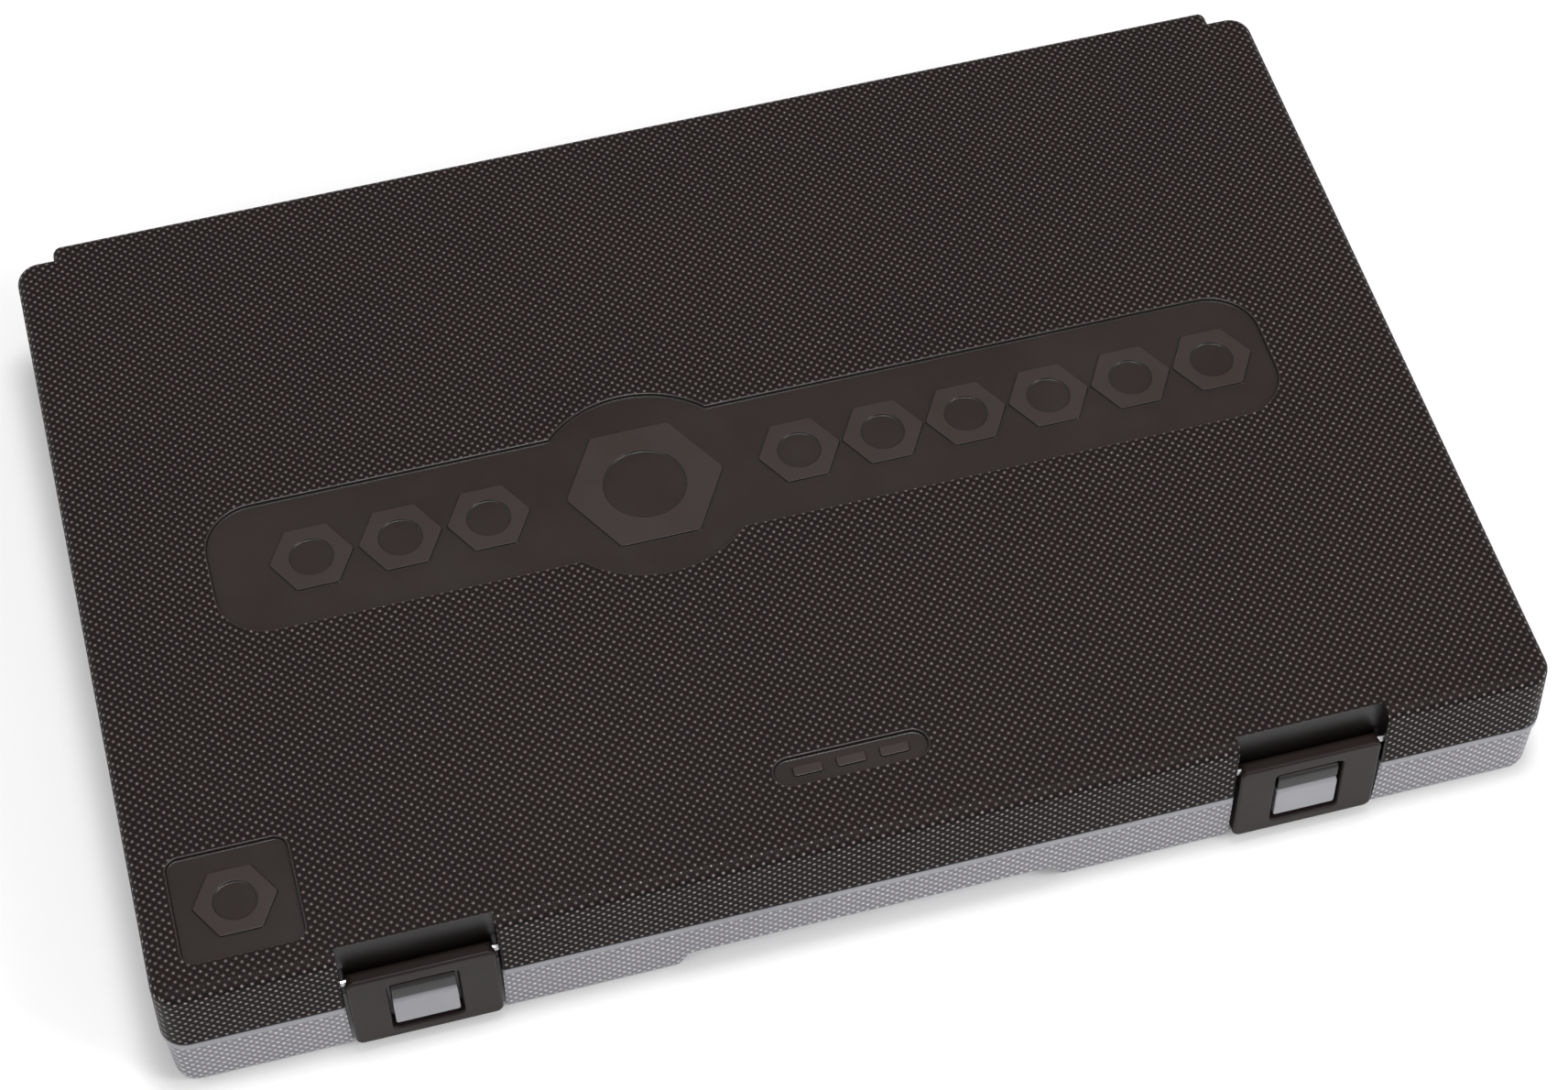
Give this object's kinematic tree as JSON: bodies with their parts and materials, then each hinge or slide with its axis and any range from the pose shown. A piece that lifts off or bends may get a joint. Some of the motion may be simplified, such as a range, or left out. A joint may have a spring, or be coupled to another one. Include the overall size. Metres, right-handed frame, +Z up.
{
  "type": "socket wrench set in case",
  "caption": "Flat two-tone hinged plastic case with two front latches, holding a ratchet, extension bars, a universal joint and rows of sockets in a moulded tray.",
  "frame": {"origin": "centre of the flat underside of the base, midway between its sides and between its front wall and its rear wall", "axes": "+Z up, +X to the right seen from the front, -Y towards the latches at the front"},
  "size_m": [0.32, 0.2228, 0.0395],
  "materials": {
    "lid_plastic": "warm black polypropylene with rows of small raised domes, smooth in the sunk panels",
    "base_plastic": "light grey polypropylene with the same raised domes and a smooth rim",
    "latch_plastic": "smooth brown-black moulded plastic, slightly satin",
    "tray_plastic": "fine-grained dark grey moulded tray",
    "liner_plastic": "fine-grained dark moulded panel",
    "chrome_steel": "polished chrome plate with faint turning marks",
    "pin_steel": "drawn steel wire, lightly brushed along its length",
    "ball_steel": "ground bearing steel",
    "dark_steel": "black oxide steel with rubbed edges",
    "grip_rubber": "soft ribbed black rubber",
    "insert_rubber": "plain black rubber sleeve"
  },
  "bodies": {
    "base": {"base_shell": "base_plastic", "base_tray": "tray_plastic", "hinge_pin_left": "pin_steel", "hinge_pin_right": "pin_steel", "socket_short_08": "chrome_steel", "socket_short_09": "chrome_steel", "socket_short_10": "chrome_steel", "socket_short_11": "chrome_steel", "socket_short_12": "chrome_steel", "socket_short_13": "chrome_steel", "socket_short_14": "chrome_steel", "socket_short_15": "chrome_steel", "socket_short_16": "chrome_steel", "socket_short_17": "chrome_steel", "socket_short_18": "chrome_steel", "socket_short_19": "chrome_steel", "socket_deep_08": "chrome_steel", "socket_deep_10": "chrome_steel", "socket_deep_11": "chrome_steel", "socket_deep_12": "chrome_steel", "socket_deep_13": "chrome_steel", "socket_deep_14": "chrome_steel", "socket_deep_15": "chrome_steel", "spark_plug_socket_16": "chrome_steel", "socket_deep_17": "chrome_steel", "spark_plug_socket_18": "chrome_steel", "socket_deep_19": "chrome_steel", "spark_plug_insert_16": "insert_rubber", "spark_plug_insert_18": "insert_rubber", "extension_bar_long": "chrome_steel", "extension_bar_short": "chrome_steel", "universal_joint_yoke": "chrome_steel", "ratchet_body": "chrome_steel", "ratchet_grip": "grip_rubber", "ratchet_cover_plate": "chrome_steel", "cover_screw_front": "dark_steel", "cover_screw_rear": "dark_steel"},
    "lid": {"lid_shell": "lid_plastic", "lid_liner": "liner_plastic", "latch_pin_left": "pin_steel", "latch_pin_right": "pin_steel"},
    "latch_left": {"latch_left": "latch_plastic"},
    "latch_right": {"latch_right": "latch_plastic"},
    "ratchet_drive": {"ratchet_drive_gear": "chrome_steel"},
    "release_button": {"release_button": "dark_steel", "release_spring": "dark_steel"},
    "drive_ball": {"drive_ball": "ball_steel"},
    "reverse_lever": {"reverse_lever": "chrome_steel"},
    "ratchet_pawl": {"ratchet_pawl": "dark_steel"},
    "universal_joint_cross": {"universal_joint_cross": "dark_steel"},
    "universal_joint_drive": {"universal_joint_drive": "chrome_steel"},
    "universal_joint_ball": {"universal_joint_ball": "ball_steel"},
    "extension_ball_long": {"extension_ball_long": "ball_steel"},
    "extension_ball_short": {"extension_ball_short": "ball_steel"}
  },
  "joints": [
    {"name": "case_lid_hinge", "type": "hinge", "parent": "base", "child": "lid", "pos_m": [0, 0.1114, 0.02], "axis": [-1, 0, 0], "range_deg": [0, 180]},
    {"name": "case_latch_left", "type": "hinge", "parent": "lid", "child": "latch_left", "pos_m": [-0.1023, -0.1059, 0.028], "axis": [-1, 0, 0], "range_deg": [0, 95]},
    {"name": "case_latch_right", "type": "hinge", "parent": "lid", "child": "latch_right", "pos_m": [0.1023, -0.1059, 0.028], "axis": [-1, 0, 0], "range_deg": [0, 95]},
    {"name": "ratchet_turn", "type": "hinge", "parent": "base", "child": "ratchet_drive", "pos_m": [-0.131, -0.003, 0.0208], "axis": [0, 0, 1], "continuous": true},
    {"name": "ratchet_release", "type": "slide", "parent": "ratchet_drive", "child": "release_button", "axis": [0, 0, -1], "range_m": [0, 0.002], "stiffness_N_per_m": 400},
    {"name": "ratchet_release_ball", "type": "slide", "parent": "ratchet_drive", "child": "drive_ball", "axis": [1, 0, 0], "range_m": [0, 0.0006]},
    {"name": "ratchet_reverse", "type": "hinge", "parent": "base", "child": "reverse_lever", "pos_m": [-0.1154, -0.003, 0.0208], "axis": [0, 0, 1], "range_deg": [0, 45]},
    {"name": "ratchet_reverse_pawl", "type": "hinge", "parent": "base", "child": "ratchet_pawl", "pos_m": [-0.1154, -0.003, 0.0208], "axis": [0, 0, 1], "range_deg": [0, 15]},
    {"name": "universal_joint_swing", "type": "hinge", "parent": "base", "child": "universal_joint_cross", "pos_m": [0.124, -0.016, 0.013], "axis": [0, 0, 1], "range_deg": [-30, 30]},
    {"name": "universal_joint_tilt", "type": "hinge", "parent": "universal_joint_cross", "child": "universal_joint_drive", "pos_m": [0.124, -0.016, 0.013], "axis": [1, 0, 0], "range_deg": [0, 30]},
    {"name": "universal_joint_detent", "type": "slide", "parent": "universal_joint_drive", "child": "universal_joint_ball", "axis": [0, 0, -1], "range_m": [0, 0.0006], "stiffness_N_per_m": 200},
    {"name": "extension_long_detent", "type": "slide", "parent": "base", "child": "extension_ball_long", "axis": [0, 0, -1], "range_m": [0, 0.0006], "stiffness_N_per_m": 200},
    {"name": "extension_short_detent", "type": "slide", "parent": "base", "child": "extension_ball_short", "axis": [0, 0, -1], "range_m": [0, 0.0006], "stiffness_N_per_m": 200}
  ],
  "couplings": [
    {"joint": "ratchet_release_ball", "follows": "ratchet_release", "ratio": 0.3},
    {"joint": "ratchet_reverse_pawl", "follows": "ratchet_reverse", "ratio": 0.3333}
  ]
}
